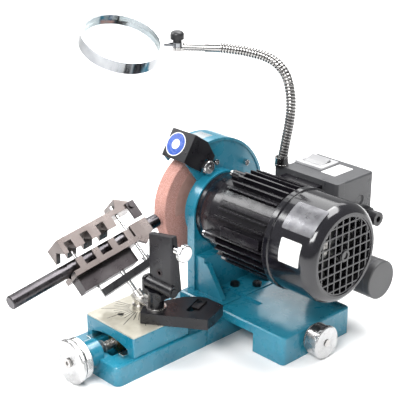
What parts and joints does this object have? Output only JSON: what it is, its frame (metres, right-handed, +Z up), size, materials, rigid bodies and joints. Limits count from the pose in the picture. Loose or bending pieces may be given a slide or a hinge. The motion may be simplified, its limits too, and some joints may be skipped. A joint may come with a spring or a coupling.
{
  "type": "drill bit sharpener",
  "caption": "Bench drill bit sharpener with a cast bed, motor-driven grinding wheel, V-jaw drill holder, feed knobs and a gooseneck magnifier.",
  "frame": {"origin": "on the bed's flat underside, on its centre line, directly under the motor shaft", "axes": "+X along the motor shaft toward the fan, +Y along the bed away from the operator, +Z up from the resting surface"},
  "size_m": [0.3201, 0.3754, 0.3275],
  "materials": {
    "abrasive": "open grit",
    "aluminium": "turned",
    "bare_steel": "machined",
    "black_enamel": "gloss",
    "black_plastic": "satin",
    "black_steel": "blackened, satin",
    "brass": "machined",
    "chrome": "bright",
    "dark_steel": "oiled",
    "glass": "clear",
    "grey_plastic": "fine texture",
    "iron_core": "laminated",
    "jaw_steel": "ground",
    "red_plastic": "gloss",
    "table_face": "engraved, satin",
    "teal_paint": "semi-gloss",
    "winding": "enamelled copper"
  },
  "bodies": {
    "bed": {"bed_casting": "teal_paint", "bed_ways": "bare_steel", "cross_nut": "brass"},
    "table_feed": {"table_screw": "bare_steel", "table_knob": "aluminium"},
    "table": {"table_block": "teal_paint", "table_plate": "table_face", "table_nut": "brass"},
    "carriage": {"motor_base": "teal_paint", "base_bolts": "chrome", "guard_cover": "teal_paint", "wheel_guard": "teal_paint", "cap_screws": "chrome", "front_shield": "black_enamel", "motor_housing": "black_enamel", "stator_core": "iron_core", "stator_windings": "winding", "bearings": "bare_steel", "rear_shield": "black_enamel", "fan_cover": "black_enamel", "cover_screws": "black_steel", "box_back": "grey_plastic", "box_lid": "grey_plastic", "switch_bezel": "black_plastic", "cable_gland": "black_plastic", "capacitor": "grey_plastic", "capacitor_clip": "dark_steel", "neck_foot": "chrome", "gooseneck": "chrome", "magnifier_stem": "chrome"},
    "cross_feed": {"cross_screw": "bare_steel", "cross_dial": "black_steel", "cross_knob": "aluminium"},
    "rotor": {"rotor_shaft": "bare_steel", "rotor_core": "iron_core", "cooling_fan": "aluminium", "wheel_flanges": "bare_steel", "grinding_wheel": "abrasive", "spindle_nut": "bare_steel"},
    "rocker": {"switch_rocker": "red_plastic"},
    "spark_guard": {"spark_guard": "black_steel"},
    "guard_knob": {"guard_knob": "chrome"},
    "magnifier": {"magnifier_ring": "chrome", "lens": "glass"},
    "magnifier_knob": {"hinge_knob": "black_plastic"},
    "swivel": {"bracket_base": "black_steel", "slot_stop": "bare_steel", "knuckle": "bare_steel", "hinge_pin": "bare_steel"},
    "post": {"post": "black_steel", "post_screw": "chrome"},
    "post_clamp": {"thumb_screw": "chrome"},
    "holder": {"swing_rod": "chrome", "swing_bar": "black_steel", "jaw_carrier": "dark_steel", "guide_pins": "chrome", "lower_jaw": "jaw_steel"},
    "upper_jaw": {"upper_jaw": "jaw_steel", "lip_stop": "dark_steel"},
    "drill": {"drill_bit": "dark_steel"}
  },
  "joints": [
    {"name": "table_feed_turn", "type": "hinge", "parent": "bed", "child": "table_feed", "pos_m": [0, -0.23, 0.024], "axis": [0, 1, 0], "range_deg": [-3370, 150]},
    {"name": "table_slide", "type": "slide", "parent": "bed", "child": "table", "axis": [0, 1, 0], "range_m": [-0.014, 0.0006]},
    {"name": "carriage_slide", "type": "slide", "parent": "bed", "child": "carriage", "axis": [1, 0, 0], "range_m": [-0.008, 0.012]},
    {"name": "cross_feed_turn", "type": "hinge", "parent": "carriage", "child": "cross_feed", "pos_m": [0.1365, -0.008, 0.0185], "axis": [1, 0, 0], "range_deg": [-2312, 3462]},
    {"name": "rotor_spin", "type": "hinge", "parent": "carriage", "child": "rotor", "pos_m": [0.0465, 0, 0.121], "axis": [1, 0, 0], "continuous": true},
    {"name": "switch_rock", "type": "hinge", "parent": "carriage", "child": "rocker", "pos_m": [0.047, 0.0845, 0.168], "axis": [1, 0, 0], "range_deg": [-14, 0]},
    {"name": "spark_guard_slide", "type": "slide", "parent": "carriage", "child": "spark_guard", "axis": [0, -0.5427, -0.8399], "range_m": [-0.004, 0.002]},
    {"name": "guard_knob_turn", "type": "hinge", "parent": "carriage", "child": "guard_knob", "pos_m": [-0.0215, -0.0179, 0.173], "axis": [1, 0, 0], "range_deg": [-180, 180]},
    {"name": "magnifier_swing", "type": "hinge", "parent": "carriage", "child": "magnifier", "pos_m": [-0.08829, -0.00117, 0.29279], "axis": [0, 0, 1], "range_deg": [-40, 60]},
    {"name": "magnifier_knob_turn", "type": "hinge", "parent": "carriage", "child": "magnifier_knob", "pos_m": [-0.08829, -0.00117, 0.29279], "axis": [0, 0, 1], "range_deg": [-90, 90]},
    {"name": "bracket_swivel", "type": "hinge", "parent": "table", "child": "swivel", "pos_m": [-0.0085, -0.132, 0.046], "axis": [0, 0, 1], "range_deg": [0, 30]},
    {"name": "holder_swing", "type": "hinge", "parent": "swivel", "child": "holder", "pos_m": [-0.02034, -0.13113, 0.06563], "axis": [0.7071, 0.1143, -0.6978], "range_deg": [-15, 15]},
    {"name": "jaw_close", "type": "slide", "parent": "holder", "child": "upper_jaw", "axis": [0.7071, 0.1143, -0.6978], "range_m": [0, 0.013]},
    {"name": "drill_feed", "type": "slide", "parent": "holder", "child": "drill", "axis": [0, 0.9869, 0.1616], "range_m": [-0.06, 0]},
    {"name": "post_tilt", "type": "hinge", "parent": "swivel", "child": "post", "pos_m": [0.0285, -0.134, 0.085], "axis": [1, 0, 0], "range_deg": [0, 25]},
    {"name": "post_clamp_turn", "type": "hinge", "parent": "post", "child": "post_clamp", "pos_m": [0.0545, -0.13, 0.1315], "axis": [1, 0, 0], "range_deg": [-180, 180]}
  ],
  "couplings": [
    {"joint": "table_feed_turn", "follows": "table_slide", "rad_per_m": 4188.8},
    {"joint": "cross_feed_turn", "follows": "carriage_slide", "rad_per_m": 5026.5}
  ]
}
